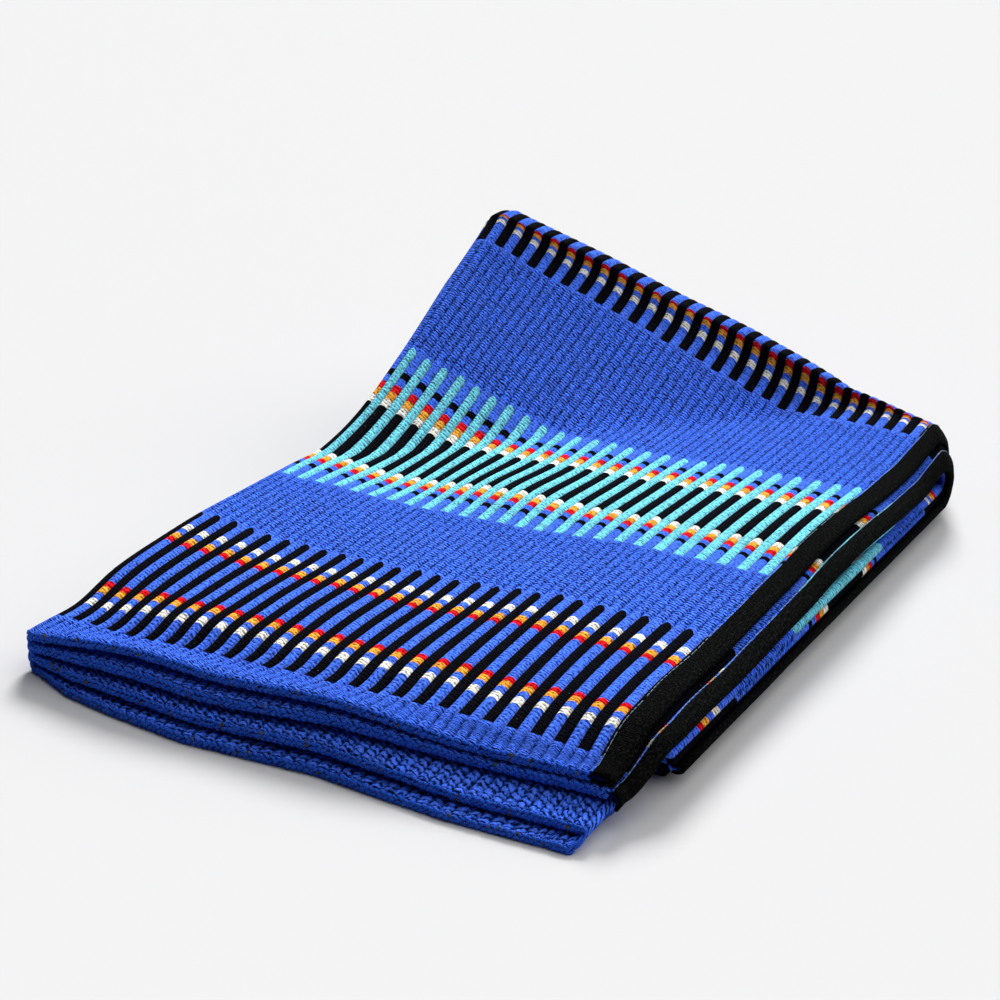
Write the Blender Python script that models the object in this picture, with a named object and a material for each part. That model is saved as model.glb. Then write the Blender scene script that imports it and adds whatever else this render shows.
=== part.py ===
"""A folded ribbed cotton blanket, in metres, +Z up.

One woven length lies in four layers: the top layer runs to a round fold on the left, comes back as the
fourth layer, turns in a hairpin on the right into the third, and turns again on the left into the second.
The whole pad is then doubled over across the ribs, so the back edge is a fold and eight layers lie on
the floor. At the back left the doubled pad springs up and leaves a hollow under it.

The cloth is one closed section, carried along a path that runs from the front edge over the top, round
the back fold and along the floor to the front again. X runs along the front edge, Y along the ribs.
"""

import bmesh
import bpy
import numpy as np

# Cloth: 51 round ribs, 6 mm apart, show on the top layer
RIB = 0.006
RIB_COUNT = 51
RELIEF = 0.0008
THICK = 0.0035
PITCH = 0.0045
LAYERS = 4
PAD = PITCH * (LAYERS - 1) + THICK

# Where each turn of the cloth has its centre, along X, and where the two cut ends lie
OUTER_LOOP_X = -0.0030
INNER_LOOP_X = -0.0010
HAIRPIN_X = 0.3212
TOP_END_X = 0.3050
UNDER_END_X = HAIRPIN_X

# The smooth, hidden faces of the layers have a point at every sixth rib, and one under the top's end
SPREAD_RIBS = 6
SPREAD = [number * RIB for number in range(0, RIB_COUNT, SPREAD_RIBS)] + [TOP_END_X]

# The black binding of a cut end: a tape folded over the thin end of the cloth
TAPE_THICK = THICK
TAPE_WALL = 0.0008
TAPE_TOP_WIDTH = 0.0120
TAPE_UNDER_WIDTH = 0.0085
TAPE_SEAM = 0.0010
END_THICK = 0.0014
END_IN_TAPE = 0.0065
TAPE_NOSE = 0.0008

# Where the cloth thins to its cut end, it does so within this distance
END_STEP = 0.0002

# Steps round each turn of the section, and along the bent end of the second layer
OUTER_LOOP_STEPS = 6
HAIRPIN_STEPS = 4
INNER_LOOP_STEPS = 3
UNDER_END_STEPS = 3
TAPE_TOP_STEPS = 3
TAPE_UNDER_STEPS = 6

# Shape of the top of the pad. Each row crosses the ribs at one distance along the cloth, `run`, from the
# front edge. y is given at the left, middle and right of the row, z at six places across, 0 to 306 mm.
ACROSS = np.array([0.0, 0.060, 0.120, 0.180, 0.240, 0.306])
ACROSS_Y = np.array([0.0, 0.153, 0.306])
TOP_ROWS = [
    # name           run     y left, middle, right      z at the six places of ACROSS
    ("under layers", -0.030, (-0.149, -0.142, -0.130), (0.0200, 0.0215, 0.0215, 0.0215, 0.0200, 0.0195)),
    ("front edge",  0.000, (-0.119, -0.112, -0.100), (0.0240, 0.0315, 0.0300, 0.0315, 0.0250, 0.0240)),
    ("band start",  0.031, (-0.089, -0.086, -0.081), (0.0210, 0.0175, 0.0220, 0.0250, 0.0265, 0.0225)),
    ("near spots",  0.050, (-0.079, -0.076, -0.072), (0.0252, 0.0316, 0.0317, 0.0333, 0.0333, 0.0345)),
    ("lap",         0.079, (-0.050, -0.049, -0.048), (0.0330, 0.0335, 0.0340, 0.0355, 0.0375, 0.0375)),
    ("far spots",   0.128, (0.001, 0.000, 0.000), (0.0378, 0.0340, 0.0345, 0.0365, 0.0408, 0.0383)),
    ("light start", 0.220, (0.091, 0.093, 0.094), (0.0397, 0.0381, 0.0374, 0.0399, 0.0428, 0.0424)),
    ("light near",  0.262, (0.131, 0.129, 0.128), (0.0395, 0.0358, 0.0409, 0.0425, 0.0443, 0.0448)),
    ("light far",   0.318, (0.190, 0.190, 0.187), (0.0338, 0.0369, 0.0379, 0.0403, 0.0425, 0.0453)),
    ("light end",   0.360, (0.233, 0.232, 0.232), (0.0369, 0.0389, 0.0393, 0.0392, 0.0415, 0.0425)),
    ("lip foot",    0.465, (0.323, 0.331, 0.318), (0.0445, 0.0412, 0.0402, 0.0408, 0.0443, 0.0452)),
    ("back white",  0.489, (0.344, 0.354, 0.338), (0.0475, 0.0416, 0.0406, 0.0419, 0.0472, 0.0470)),
    ("back orange", 0.499, (0.347, 0.360, 0.342), (0.0487, 0.0439, 0.0440, 0.0459, 0.0492, 0.0470)),
    ("crest",       0.507, (0.349, 0.363, 0.345), (0.0496, 0.0478, 0.0466, 0.0494, 0.0527, 0.0472)),
    ("fold start",  0.513, (0.355, 0.369, 0.351), (0.0480, 0.0462, 0.0450, 0.0478, 0.0511, 0.0456)),
]
FOLD_START = TOP_ROWS[-1][1]
LEVEL_ROWS = TOP_ROWS[4:]
HEADING_STEP = 0.0005

# The layers stand square to the top only behind these runs; in front of them they lie straight below it
SQUARE_FROM = 0.160
SQUARE_AT = 0.260

# The top curls up in a lip before the fold; from here on the layers follow only a share of its headings
LIP_FROM = 0.430
LIP_SHARE = 0.3

# The raised back left corner: the top leaves the level of its rows behind a slanting crease
CREASE_Y = 0.1285
CREASE_SLANT = 0.919
RISE = 0.432
RISE_EASE = 0.0136

# The back fold: a tight bend, a straight fall and a wide bend on to the floor, left and right
BEND_RADIUS = (0.0250, 0.0235)
FALL_ANGLE = (108.0, 90.0)
FLOOR_BEND = (0.040, 0.0235)
FOLD_TURNS_RIGHT_X = 0.240
LEAST_FALL = 0.0002

# The lower half of the pad ends further back than the upper half
LOWER_EDGE_Y = (-0.038, -0.050)
LOWER_LEAD = 0.010
LOWER_LEAD_RUN = 0.060
# How much further forward along the path the fourth layer reaches than the top one, at places across
LEAD_ACROSS = np.array([0.0, 0.030, 0.060, 0.110, 0.180, 0.250, 0.306])
UPPER_LEAD = np.array([0.005, 0.014, 0.020, 0.0265, 0.0235, 0.032, 0.030])
UPPER_LEAD_RUN = 0.027

# The pad's corners are rounded: the loop at the front left and the bindings at the back right
FRONT_ROUND = 100.0
FRONT_ROUND_RUN = 0.060
BACK_ROUND = 0.7
BACK_ROUND_RUNS = (0.380, 0.500)
BACK_ROUND_FLOOR = 0.100

# How far the loop on the left stands out or draws in, at runs along the path
LOOP_X = -0.0115
LOOP_RUNS = np.array([0.0, 0.200, 0.290, 0.360, 0.430, 0.490, 0.560])
LOOP_OUT = np.array([0.0, 0.0, -0.0030, 0.0, 0.0050, 0.0050, 0.0])

# Thickness of the four layers together: half of what lies under the top, less a little air
PAD_LEAST = 0.0155
PAD_MOST = 0.0203
HALF_GAP = 0.0012

# In front of these runs the lower half is missing, and the four layers stand a little apart down to the floor
PAD_FRONT = 0.0320
PAD_FRONT_RUNS = (0.015, 0.060)

# The edges of the cloth along the front are rounded over this run
EDGE_ROUND = 0.0015
EDGE_THICK = 0.60

# Stations along the path: runs on the top, then shares of each bend, fall and floor run
TOP_STATIONS = (0.0, EDGE_ROUND, 0.018, 0.027, 0.035, 0.052, 0.064, 0.083, 0.128, 0.220, 0.262,
                0.318, 0.360, 0.430, 0.480, 0.496, 0.507, FOLD_START)
BEND_STATIONS = (0.33, 0.67, 1.0)
FLOOR_BEND_STATIONS = (0.5, 1.0)
FLOOR_STATIONS = (0.35, 0.75, 1.0)

# The middle of the whole pad on the floor, which is the part's origin
CENTRE_X = 0.1566
CENTRE_Y = 0.1292

BLUE = (0.010, 0.055, 0.60, 1.0)
BLACK = (0.008, 0.009, 0.012, 1.0)


def through(at, knots, values):
    """A smooth curve through values at knots: cubic Hermite pieces whose slopes are the mean slopes.

    values has one row for each knot and one column for each place in `at`, or a single column.
    """
    knots = np.asarray(knots)
    values = np.asarray(values, dtype=float)
    if values.ndim == 1:
        values = np.repeat(values[:, None], len(at), axis=1)
    slopes = np.gradient(values, knots, axis=0)
    piece = np.clip(np.searchsorted(knots, at, side="right") - 1, 0, len(knots) - 2)
    column = np.arange(len(at))
    width = knots[piece + 1] - knots[piece]
    t = (at - knots[piece]) / width
    start, end = values[piece, column], values[piece + 1, column]
    start_slope, end_slope = slopes[piece, column] * width, slopes[piece + 1, column] * width
    return ((2 * t**3 - 3 * t**2 + 1) * start + (t**3 - 2 * t**2 + t) * start_slope
            + (3 * t**2 - 2 * t**3) * end + (t**3 - t**2) * end_slope)


def ease(at, start, end):
    """0 before start, 1 after end, and 3t^2 - 2t^3 between."""
    t = np.clip((at - start) / (end - start), 0.0, 1.0)
    return t * t * (3 - 2 * t)


def left_to_right(pair, x):
    """A size that changes evenly from the left of the pad to where its back fold levels out."""
    share = ease(x, 0.0, FOLD_TURNS_RIGHT_X)
    return pair[0] + (pair[1] - pair[0]) * share


def row_points(x, run):
    """y and the level z of the top at each x and its run along the cloth from the front edge."""
    x = np.clip(x, ACROSS[0], ACROSS[-1])
    runs = [row[1] for row in TOP_ROWS]
    row_y = np.array([through(x, ACROSS_Y, row[2]) for row in TOP_ROWS])
    row_z = np.array([through(x, ACROSS, row[3]) for row in TOP_ROWS])
    return through(run, runs, row_y), through(run, runs, row_z)


def raised(x, y):
    """Height of the raised corner: RISE d^2 / (d + RISE_EASE), d behind the crease at y0 + slant x."""
    behind = np.maximum(0.0, y - CREASE_Y - CREASE_SLANT * np.clip(x, 0.0, ACROSS[-1]))
    return RISE * behind**2 / (behind + RISE_EASE)


def on_top(x, run):
    """Place, heading and pad thickness on the upper half, at each x and its run."""
    y, level = row_points(x, run)
    y_back, level_back = row_points(x, run - HEADING_STEP)
    y_on, level_on = row_points(x, np.minimum(run + HEADING_STEP, FOLD_START))
    z_back = level_back + raised(x, y_back)
    z_on = level_on + raised(x, y_on)
    heading = np.arctan2(z_on - z_back, y_on - y_back)
    half = np.clip((level - HALF_GAP) / 2, PAD_LEAST, PAD_MOST)
    pad = half + (np.minimum(level, PAD_FRONT) - half) * (1 - ease(run, *PAD_FRONT_RUNS))
    return y, level + raised(x, y), heading, pad


def lean(x, run, heading):
    """How far the layers lean back at each run: not at all in front, square to the top, then between it and
    an even turn over the lip."""
    before = on_top(x, np.full(len(x), LIP_FROM))[2]
    at_fold = on_top(x, np.full(len(x), FOLD_START))[2]
    even = before + (at_fold - before) * ease(run, LIP_FROM, FOLD_START)
    over_lip = even + LIP_SHARE * (heading - even)
    return np.where(run < LIP_FROM, heading * ease(run, SQUARE_FROM, SQUARE_AT), over_lip)


def rounded(x, run, on_floor):
    """Shifts in x and y at the pad's corners: y grows as k x^2 at the front left and shrinks evenly behind."""
    left = FRONT_ROUND * np.minimum(x, 0.0) ** 2 * (1 - ease(run, 0.0, FRONT_ROUND_RUN))
    right = BACK_ROUND * np.maximum(x - TOP_END_X, 0.0) * ease(run, *BACK_ROUND_RUNS)
    right = right * (1 - ease(on_floor, 0.0, BACK_ROUND_FLOOR))
    out = np.interp(run, LOOP_RUNS, LOOP_OUT) * np.clip(x / LOOP_X, 0.0, 1.0)
    return -out, left - right


def arc(y, z, heading, turn, radius):
    """The end of a right-hand arc: dy = R (sin a - sin b), dz = R (cos b - cos a), b = a - turn."""
    end = heading - turn
    return (y + radius * (np.sin(heading) - np.sin(end)),
            z + radius * (np.cos(end) - np.cos(heading)), end)


def fold_shape(x):
    """The parts of the back fold at each x: its start, both bends and the length of the fall."""
    y, z, heading, pad = on_top(x, np.full(len(x), FOLD_START))
    angle = np.radians(left_to_right(FALL_ANGLE, x))
    bend = np.minimum(left_to_right(BEND_RADIUS, x), z / 2)
    fall_from = z + bend * (np.cos(angle) - np.cos(heading))
    floor_bend = np.minimum(left_to_right(FLOOR_BEND, x), fall_from / (1 + np.cos(angle)) - LEAST_FALL)
    fall = (fall_from - floor_bend * (1 + np.cos(angle))) / np.sin(angle)
    return y, z, heading, angle, bend, floor_bend, fall, pad


def stations(x, depth):
    """Every station along the path, for all the section's points (x, depth) at once.

    Each has y, z, heading, pad thickness, rib relief share, thickness share and the corners' shifts in x
    and y. The thickness share is under 1 only at the two front edges. A deeper layer is ahead of the top
    one near the front edges, by its share of the lead.
    """
    share_of_lead = depth / PAD
    found = []
    for run in TOP_STATIONS:
        lead = np.interp(x, LEAD_ACROSS, UPPER_LEAD) * (1 - ease(run, 0.0, UPPER_LEAD_RUN)) * share_of_lead
        y, z, heading, pad = on_top(x, run - lead)
        square = lean(x, run, heading)
        found.append((y, z, square, pad, 1.0, EDGE_THICK if run == TOP_STATIONS[0] else 1.0,
                      *rounded(x, run, 0.0)))
    y, z, heading, angle, bend, floor_bend, fall, pad = fold_shape(x)
    run = FOLD_START
    for share in BEND_STATIONS:
        place = arc(y, z, heading, (heading + angle) * share, bend)
        travel = run + bend * (heading + angle) * share
        found.append((*place, pad, 1.0, 1.0, *rounded(x, travel, 0.0)))
    run = run + bend * (heading + angle) + fall
    y, z, heading = arc(y, z, heading, heading + angle, bend)
    y, z = y + fall * np.cos(heading), z + fall * np.sin(heading)
    found.append((y, z, heading, pad, 1.0, 1.0, *rounded(x, run, 0.0)))
    for share in FLOOR_BEND_STATIONS:
        place = arc(y, z, heading, (np.pi - angle) * share, floor_bend)
        travel = run + floor_bend * (np.pi - angle) * share
        found.append((*place, pad, 1.0 - share, 1.0, *rounded(x, travel, 0.0)))
    run = run + floor_bend * (np.pi - angle)
    floor_y = found[-1][0]
    edge_y = left_to_right(LOWER_EDGE_Y, x)
    for share in FLOOR_STATIONS:
        on_floor = (floor_y - edge_y) * share
        y = floor_y - on_floor
        level = level_over(x, y)
        pad_here = np.clip((level - HALF_GAP) / 2, PAD_LEAST, PAD_MOST)
        pad_here = pad + (pad_here - pad) * ease(share, 0.0, FLOOR_STATIONS[0])
        lead = LOWER_LEAD * ease(-y, -edge_y - LOWER_LEAD_RUN, -edge_y) * share_of_lead
        found.append((y - lead, np.zeros(len(x)), np.full(len(x), -np.pi), pad_here, 0.0,
                      EDGE_THICK if share == FLOOR_STATIONS[-1] else 1.0,
                      *rounded(x, run + on_floor, on_floor)))
    return found


def level_over(x, y):
    """The level of the top above the floor place (x, y), without the raised corner."""
    x = np.clip(x, ACROSS[0], ACROSS[-1])
    runs = [row[1] for row in LEVEL_ROWS]
    row_y = np.array([through(x, ACROSS_Y, row[2]) for row in LEVEL_ROWS])
    row_z = np.array([through(x, ACROSS, row[3]) for row in LEVEL_ROWS])
    run = np.array([np.interp(place, row_y[:, i], runs) for i, place in enumerate(y)])
    return through(run, runs, row_z)


def turn(centre_x, centre_depth, radius, first, last, steps):
    """Points round a turn of the cloth: x = cx + R cos a, depth = cd + R sin a, in degrees."""
    angles = np.radians(np.linspace(first, last, steps + 1))
    return [(centre_x + radius * np.cos(a), centre_depth + radius * np.sin(a)) for a in angles]


def layer_depth(number):
    """Depth of a layer's middle under the top of the pad, counted from 1."""
    return THICK / 2 + PITCH * (number - 1)


def under_end(distance):
    """The second layer past its seam: it bends down round the hairpin, x = cx + R sin a."""
    radius = (layer_depth(3) + layer_depth(4)) / 2 - layer_depth(2)
    angle = distance / radius
    centre_depth = layer_depth(2) + radius
    return UNDER_END_X + radius * np.sin(angle), centre_depth - radius * np.cos(angle)


def top_end(distance):
    """The top layer past its seam: straight on, at the middle of its tape."""
    return TOP_END_X + TAPE_SEAM / 2 + distance, layer_depth(1)


def with_normals(line):
    """Pair each point (x, depth) of a line with the unit normal on its outer face."""
    line = np.array(line)
    along = np.gradient(line, axis=0)
    along /= np.linalg.norm(along, axis=1)[:, None]
    return line, np.stack([-along[:, 1], along[:, 0]], axis=1)


def cloth_section():
    """The closed section of the cloth, as rows of x, depth, offset x, offset depth and valley depth.

    It runs along the outer face from the top layer's end to the second layer's end, and back along the
    inner face. The outer face has a point on each rib and one in each valley where it shows.
    """
    top, second, third, fourth = (layer_depth(n) for n in (1, 2, 3, 4))
    thin = END_THICK / 2
    full = THICK / 2
    seam_x = UNDER_END_X - TAPE_SEAM / 2
    outer_loop = turn(OUTER_LOOP_X, (top + fourth) / 2, (fourth - top) / 2, -90, -270, OUTER_LOOP_STEPS)
    hairpin = turn(HAIRPIN_X, (third + fourth) / 2, PITCH / 2, 90, -90, HAIRPIN_STEPS)
    inner_loop = turn(INNER_LOOP_X, (second + third) / 2, PITCH / 2, 90, 270, INNER_LOOP_STEPS)

    # each point: place on the middle line, half thickness, valley or not, kept on the inner face or not
    points = []
    for distance in (END_IN_TAPE, 0.0):
        points.append((top_end(distance), thin, False, True))
    points.append(((TOP_END_X + END_STEP, top), thin, False, True))
    points.append(((TOP_END_X, top), full, False, True))
    for half_rib in range(2 * RIB_COUNT - 1, -1, -1):
        valley = half_rib % 2 == 1
        points.append(((half_rib * RIB / 2, top), full, valley, half_rib % (2 * SPREAD_RIBS) == 0))
    for number, place in enumerate(outer_loop):
        points.append((place, full, number % 2 == 0, True))
    for x in SPREAD:
        points.append(((x, fourth), full, False, True))
    for number, place in enumerate(hairpin):
        points.append((place, full, number % 2 == 1, True))
    for x in SPREAD[::-1]:
        points.append(((x, third), full, False, True))
    for place in inner_loop:
        points.append((place, full, False, True))
    for x in SPREAD:
        points.append(((x, second), full, False, True))
    points.append(((seam_x, second), full, False, True))
    points.append(((seam_x + END_STEP, second), thin, False, True))
    for distance in np.linspace(0.0, END_IN_TAPE, UNDER_END_STEPS):
        points.append((under_end(distance), thin, False, True))

    line, normal = with_normals([p[0] for p in points])
    half = np.array([p[1] for p in points])[:, None]
    valley = np.array([p[2] for p in points]) * RELIEF
    inner = np.array([p[3] for p in points])
    outer_rows = np.hstack([line, normal * half, valley[:, None]])
    inner_rows = np.hstack([line, -normal * half, 0 * half])[inner]
    return np.vstack([outer_rows, inner_rows[::-1]])


def tape_section(middle, width, steps):
    """The closed section of a binding: a tape folded round the thin end, open towards the cloth."""
    outer_half = TAPE_THICK / 2
    slot_half = outer_half - TAPE_WALL
    along = np.linspace(0.0, width - TAPE_NOSE, steps + 1)
    slot = along[along < END_IN_TAPE]
    slot = np.append(slot, END_IN_TAPE + TAPE_WALL)
    sides = [(u, outer_half) for u in along]
    sides += [(width, outer_half / 2), (width, -outer_half / 2)]
    sides += [(u, -outer_half) for u in along[::-1]]
    sides += [(u, -slot_half) for u in slot]
    sides += [(u, slot_half) for u in slot[::-1]]
    rows = []
    for u, offset in sides:
        here = np.array(middle(u))
        ahead = np.array(middle(u + END_STEP)) - here
        ahead /= np.linalg.norm(ahead)
        rows.append([*here, ahead[1] * offset, -ahead[0] * offset, 0.0])
    return np.array(rows)


def sweep(name, section, colour, rounded_edges):
    """Carry a closed section along the path and close both ends.

    A point lies at y + d sin h and z - d cos h, where h is the path's heading and d the point's depth in
    the section, scaled by the pad's thickness there.
    """
    line, offset, valley = section[:, 0:2], section[:, 2:4], section[:, 4]
    size = np.linalg.norm(offset, axis=1)
    rings = []
    for y, z, heading, pad, relief, share, shift_x, shift_y in stations(line[:, 0], line[:, 1]):
        reach = (share if rounded_edges else 1.0) * (1 - valley * relief / size)
        x = line[:, 0] + offset[:, 0] * reach + shift_x
        depth = (line[:, 1] + offset[:, 1] * reach) * pad / PAD
        rings.append(np.stack([x - CENTRE_X, y + shift_y + depth * np.sin(heading) - CENTRE_Y,
                               z - depth * np.cos(heading)], axis=1))
    count = len(section)
    vertices = np.vstack(rings)
    faces = []
    for ring in range(len(rings) - 1):
        for point in range(count):
            following = (point + 1) % count
            faces.append((ring * count + point, ring * count + following,
                          (ring + 1) * count + following, (ring + 1) * count + point))
    faces.append(tuple(range(count)))
    faces.append(tuple((len(rings) - 1) * count + point for point in reversed(range(count))))

    mesh = bpy.data.meshes.new(name)
    mesh.from_pydata(vertices.tolist(), [], faces)
    work = bmesh.new()
    work.from_mesh(mesh)
    bmesh.ops.triangulate(work, faces=work.faces[:], quad_method="SHORT_EDGE", ngon_method="EAR_CLIP")
    bmesh.ops.recalc_face_normals(work, faces=work.faces[:])
    work.to_mesh(mesh)
    work.free()
    mesh.shade_smooth()
    piece = bpy.data.objects.new(name, mesh)
    bpy.context.scene.collection.objects.link(piece)
    mesh.materials.append(cotton(name, colour))
    return piece


def cotton(name, colour):
    """Matt cotton of one colour."""
    material = bpy.data.materials.new(name + "_cotton")
    material.use_nodes = True
    surface = material.node_tree.nodes["Principled BSDF"]
    surface.inputs["Base Color"].default_value = colour
    surface.inputs["Roughness"].default_value = 0.9
    surface.inputs["Metallic"].default_value = 0.0
    return material


def main():
    for piece in list(bpy.data.objects):
        bpy.data.objects.remove(piece)
    sweep("cloth", cloth_section(), BLUE, True)
    sweep("binding_top", tape_section(top_end, TAPE_TOP_WIDTH, TAPE_TOP_STEPS), BLACK, False)
    sweep("binding_under", tape_section(under_end, TAPE_UNDER_WIDTH, TAPE_UNDER_STEPS), BLACK, False)


main()
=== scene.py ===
"""The looks of a folded ribbed cotton blanket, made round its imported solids. Metres, +Z up.

The cloth is one closed sheet on the folds of its solid: X runs across the ribs, `travel` runs along them,
from the front edge over the top, round the back fold and forward again along the floor. Across the ribs
the sheet is wound through four layers, and `wound` counts along it from x = 0 of the top layer.
"""

import bpy
import numpy as np
from bpy.props import FloatProperty, FloatVectorProperty, PointerProperty
from bpy.types import Operator, Panel, PropertyGroup
from mathutils import Matrix, Vector


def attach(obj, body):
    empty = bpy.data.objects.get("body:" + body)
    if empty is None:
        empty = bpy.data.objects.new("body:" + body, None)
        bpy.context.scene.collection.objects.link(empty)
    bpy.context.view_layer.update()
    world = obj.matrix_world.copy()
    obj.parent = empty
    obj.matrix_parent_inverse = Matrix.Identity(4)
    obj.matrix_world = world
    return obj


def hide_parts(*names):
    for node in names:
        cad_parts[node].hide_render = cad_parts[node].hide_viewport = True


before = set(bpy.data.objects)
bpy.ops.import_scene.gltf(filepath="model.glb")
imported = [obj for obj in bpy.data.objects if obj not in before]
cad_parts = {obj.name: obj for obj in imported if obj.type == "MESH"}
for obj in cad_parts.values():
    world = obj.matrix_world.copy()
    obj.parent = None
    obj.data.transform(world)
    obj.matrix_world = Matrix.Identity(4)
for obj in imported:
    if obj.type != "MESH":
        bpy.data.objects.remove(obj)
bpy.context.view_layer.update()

bl_info = {
    "name": "Folded ribbed blanket",
    "version": (1, 0, 0),
    "blender": (4, 5, 0),
    "location": "3D View > Sidebar > Blanket",
    "description": "Makes a folded ribbed cotton blanket round its solids",
    "category": "Object",
}

# The folds of the solids: layers of cloth, turns and cut ends
THICK = 0.0035
PITCH = 0.0045
LAYERS = 4
PAD = PITCH * (LAYERS - 1) + THICK
OUTER_LOOP_X = -0.0030
INNER_LOOP_X = -0.0010
HAIRPIN_X = 0.3212
TOP_END_X = 0.3050
UNDER_END_X = HAIRPIN_X
TAPE_THICK = THICK
TAPE_WALL = 0.0008
TAPE_TOP_WIDTH = 0.0120
TAPE_UNDER_WIDTH = 0.0085
TAPE_SEAM = 0.0010
END_THICK = 0.0014
END_IN_TAPE = 0.0065
END_STEP = 0.0002

# Depths of the four layers' middles, and the radii of the turns between them
TOP, SECOND, THIRD, FOURTH = (THICK / 2 + PITCH * number for number in range(LAYERS))
OUTER_RADIUS = (FOURTH - TOP) / 2
TURN_RADIUS = PITCH / 2
SEAM_X = UNDER_END_X - TAPE_SEAM / 2

# Where each piece of the wound cloth ends: top layer, outer loop, fourth, hairpin, third, inner loop, second
WOUND_AT = np.cumsum([
    -OUTER_LOOP_X,
    np.pi * OUTER_RADIUS,
    HAIRPIN_X - OUTER_LOOP_X,
    np.pi * TURN_RADIUS,
    HAIRPIN_X - INNER_LOOP_X,
    np.pi * TURN_RADIUS,
])
WOUND_END = WOUND_AT[-1] + SEAM_X - INNER_LOOP_X

# Shape of the top of the pad, one row for each run from the front edge: y at the left, middle and right,
# and z at six places across
ACROSS = np.array([0.0, 0.060, 0.120, 0.180, 0.240, 0.306])
ACROSS_Y = np.array([0.0, 0.153, 0.306])
TOP_RUNS = np.array([-0.030, 0.0, 0.031, 0.050, 0.079, 0.128, 0.220, 0.262, 0.318, 0.360, 0.465, 0.489, 0.499,
                     0.507, 0.513])
TOP_Y = np.array([
    (-0.149, -0.142, -0.130),
    (-0.119, -0.112, -0.100),
    (-0.0975, -0.0945, -0.0895),
    (-0.079, -0.076, -0.072),
    (-0.050, -0.049, -0.048),
    (0.001, 0.000, 0.000),
    (0.091, 0.093, 0.094),
    (0.131, 0.129, 0.128),
    (0.190, 0.190, 0.187),
    (0.233, 0.232, 0.232),
    (0.323, 0.331, 0.318),
    (0.344, 0.354, 0.338),
    (0.347, 0.360, 0.342),
    (0.349, 0.363, 0.345),
    (0.355, 0.369, 0.351),
])
TOP_Z = np.array([
    (0.0200, 0.0215, 0.0215, 0.0215, 0.0200, 0.0195),
    (0.0240, 0.0315, 0.0300, 0.0315, 0.0250, 0.0240),
    (0.0243, 0.0245, 0.0270, 0.0288, 0.0298, 0.0262),
    (0.0252, 0.0316, 0.0317, 0.0333, 0.0333, 0.0345),
    (0.0330, 0.0335, 0.0340, 0.0355, 0.0375, 0.0375),
    (0.0378, 0.0340, 0.0345, 0.0365, 0.0408, 0.0383),
    (0.0397, 0.0381, 0.0374, 0.0399, 0.0428, 0.0424),
    (0.0395, 0.0358, 0.0409, 0.0425, 0.0443, 0.0448),
    (0.0338, 0.0369, 0.0379, 0.0403, 0.0425, 0.0453),
    (0.0369, 0.0389, 0.0393, 0.0392, 0.0415, 0.0425),
    (0.0445, 0.0412, 0.0402, 0.0408, 0.0443, 0.0452),
    (0.0475, 0.0416, 0.0406, 0.0419, 0.0472, 0.0470),
    (0.0487, 0.0439, 0.0440, 0.0459, 0.0510, 0.0470),
    (0.0486, 0.0483, 0.0450, 0.0507, 0.0574, 0.0462),
    (0.0464, 0.0460, 0.0430, 0.0485, 0.0545, 0.0440),
])
FOLD_START = TOP_RUNS[-1]
FIRST_LEVEL_ROW = 4
HEADING_STEP = 0.0005
SQUARE_FROM = 0.160
SQUARE_AT = 0.260
LIP_FROM = 0.430
LIP_SHARE = 0.3
CREASE_Y = 0.1285
CREASE_SLANT = 0.919
RISE = 0.432
RISE_EASE = 0.0136
BEND_RADIUS = (0.0250, 0.0235)
FALL_ANGLE = (108.0, 90.0)
FLOOR_BEND = (0.040, 0.0235)
FOLD_TURNS_RIGHT_X = 0.240
LEAST_FALL = 0.0002
LOWER_EDGE_Y = (-0.038, -0.050)
LOWER_LEAD = 0.010
LOWER_LEAD_RUN = 0.060
LEAD_ACROSS = np.array([0.0, 0.030, 0.060, 0.110, 0.180, 0.250, 0.306])
UPPER_LEAD = np.array([0.0, 0.014, 0.020, 0.0265, 0.0235, 0.032, 0.034])
UPPER_LEAD_RUN = 0.027
PAD_LEAST = 0.0155
PAD_MOST = 0.0203
HALF_GAP = 0.0012
PAD_FRONT = 0.0320
PAD_FRONT_RUNS = (0.015, 0.060)
PAD_EASE = 0.35

# The four layers gape along the front: their cloth thickens by no more than this. At the right the deeper
# turns draw in
FRONT_FATNESS = 1.35
TURN_IN = 0.014
TURN_IN_FROM = (0.285, 0.325)
TURN_IN_RUNS = (0.010, 0.070)

# The second layer lies close under the top one at the front right. Shares of the pad's depth at the middles
# of the layers, and at both faces of the second: evenly apart, as they lie there, and shares of the lead
EVEN_SHARES = np.array([0.0, 0.103, 0.250, 0.485, 0.632, 0.897, 1.0])
CLOSE_SHARES = np.array([0.0, 0.103, 0.220, 0.400, 0.580, 0.897, 1.0])
LEAD_SHARES = np.array([0.0, 0.050, 0.120, 0.160, 0.680, 0.940, 1.0])
CLOSE_PAD = (0.0205, 0.0235)
CLOSE_ACROSS = (0.100, 0.250)
ONLY_TAPE_X = HAIRPIN_X + TURN_RADIUS + THICK / 2

# The selvedge is pulled to the left against the dark band behind it, at places across
PULL_ACROSS = np.array([-0.010, 0.020, 0.120, 0.200, 0.260])
PULL = np.array([0.001, 0.0035, 0.0045, 0.0025, 0.0])
PULL_RUNS = (0.022, 0.042)
CENTRE_X = 0.1566
CENTRE_Y = 0.1292

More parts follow.
